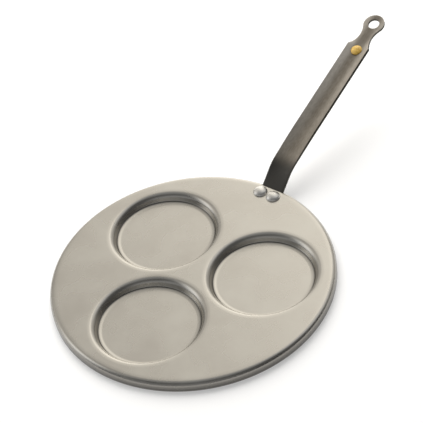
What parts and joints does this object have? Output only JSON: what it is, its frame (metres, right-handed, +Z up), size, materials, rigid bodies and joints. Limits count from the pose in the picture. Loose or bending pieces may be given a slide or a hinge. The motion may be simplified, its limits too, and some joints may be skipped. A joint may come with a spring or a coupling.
{
  "type": "pancake pan",
  "caption": "Round pressed-steel pancake pan with shallow round cups in a flat plate, a turned-down rim and a long dished strip handle riveted beneath it, ending in a hanging eye.",
  "frame": {"origin": "middle of the whole footprint, plate and handle, on the surface the pan stands on", "axes": "+Y along the handle, from the plate to the hanging eye; +Z up; +X to the right when the handle points away"},
  "size_m": [0.27, 0.4698, 0.083],
  "materials": {
    "plate_steel": "satin bare carbon steel, slightly mottled",
    "handle_steel": "dark oiled steel with fine lengthwise scratches",
    "rivet_steel": "polished",
    "stud_resin": "glossy gold-yellow"
  },
  "bodies": {
    "root": {"pan_plate": "plate_steel", "handle": "handle_steel", "rivet_left": "rivet_steel", "rivet_right": "rivet_steel", "handle_stud": "stud_resin"}
  },
  "joints": []
}
